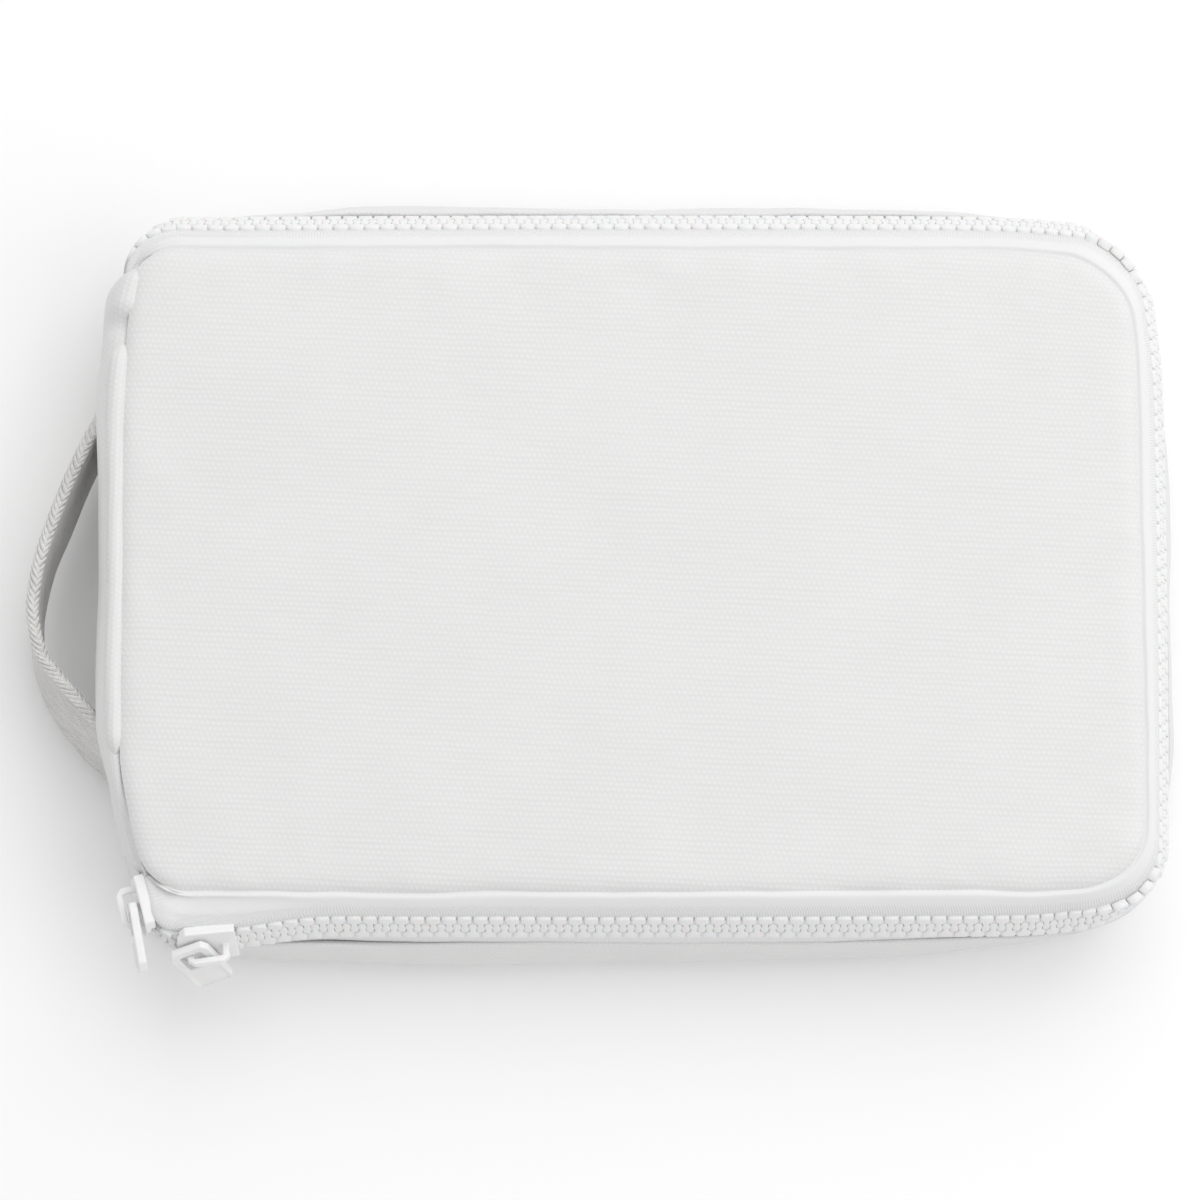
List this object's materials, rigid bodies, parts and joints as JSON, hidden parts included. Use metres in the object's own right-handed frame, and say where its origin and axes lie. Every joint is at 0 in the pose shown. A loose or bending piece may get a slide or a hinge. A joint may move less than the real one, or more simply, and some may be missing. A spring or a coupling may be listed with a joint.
{
  "type": "zip-round covered prayer book",
  "caption": "Small hardback prayer book inside a white padded canvas cover with a moulded zip round three sides and a webbing carrying handle on the spine",
  "frame": {"origin": "middle of the outer back face, on which the closed case lies", "axes": "+Z out of the front cover, +X towards the opening side opposite the spine and handle, +Y towards the head of the book"},
  "size_m": [0.2088, 0.1449, 0.032],
  "materials": {
    "canvas": "matte",
    "padding": "matte",
    "lining": "matte",
    "zip_tape": "matte",
    "zip_teeth": "satin",
    "slider_plastic": "satin",
    "webbing": "matte",
    "thread": "matte",
    "book_cloth": "satin",
    "endpaper": "matte",
    "leaves": "matte",
    "ribbon": "satin",
    "headband": "matte"
  },
  "bodies": {
    "back_half": {"back_panel": "canvas", "back_padding": "padding", "back_lining": "lining", "back_pocket": "lining", "side_gusset": "canvas", "back_zip_tape": "zip_tape", "back_zip_teeth": "zip_teeth", "back_zip_stop": "zip_teeth", "slider_a": "slider_plastic", "book_back_board": "book_cloth", "back_endpaper": "endpaper", "lower_leaves": "leaves", "upper_leaves": "leaves", "ribbon_marker": "ribbon", "headband": "headband", "tailband": "headband"},
    "spine": {"spine_panel": "canvas", "spine_padding": "padding", "spine_lining": "lining", "handle_ends": "webbing", "handle_bar_tacks": "thread", "book_spine": "book_cloth"},
    "front_half": {"front_panel": "canvas", "front_padding": "padding", "front_lining": "lining", "front_pocket": "lining", "front_zip_tape": "zip_tape", "front_zip_teeth": "zip_teeth", "front_zip_stop": "zip_teeth", "book_front_board": "book_cloth", "front_endpaper": "endpaper"},
    "slider_b_body": {"slider_b": "slider_plastic"},
    "pull_a_body": {"pull_a": "slider_plastic"},
    "pull_b_body": {"pull_b": "slider_plastic"},
    "handle": {"handle_strap": "webbing"}
  },
  "joints": [
    {"name": "spine_fold", "type": "hinge", "parent": "back_half", "child": "spine", "pos_m": [-0.0926, 0, 0.0005], "axis": [0, -1, 0], "range_deg": [0, 90], "deforming": ["front_zip_teeth"]},
    {"name": "cover_fold", "type": "hinge", "parent": "spine", "child": "front_half", "pos_m": [-0.0926, 0, 0.0315], "axis": [0, -1, 0], "range_deg": [0, 90], "deforming": ["front_zip_teeth"]},
    {"name": "slider_b_travel", "type": "slide", "parent": "back_half", "child": "slider_b_body", "axis": [0.9999, 0.0152, 0], "range_m": [0, 0.15], "deforming": ["front_zip_teeth", "back_zip_teeth", "front_zip_tape", "back_zip_tape"]},
    {"name": "pull_a_swing", "type": "hinge", "parent": "back_half", "child": "pull_a_body", "pos_m": [-0.09085, -0.06105, 0.02499], "axis": [-0.1585, -0.0395, -0.9866], "range_deg": [-4, 150]},
    {"name": "pull_b_swing", "type": "hinge", "parent": "slider_b_body", "child": "pull_b_body", "pos_m": [-0.08001, -0.06967, 0.02624], "axis": [0.113, -0.8512, 0.5125], "range_deg": [-30, 10]},
    {"name": "handle_lean", "type": "hinge", "parent": "spine", "child": "handle", "pos_m": [-0.1014, -0.0055, 0.01325], "axis": [0, 1, 0], "range_deg": [-15, 15], "stiffness_Nm_per_rad": 0.02}
  ]
}
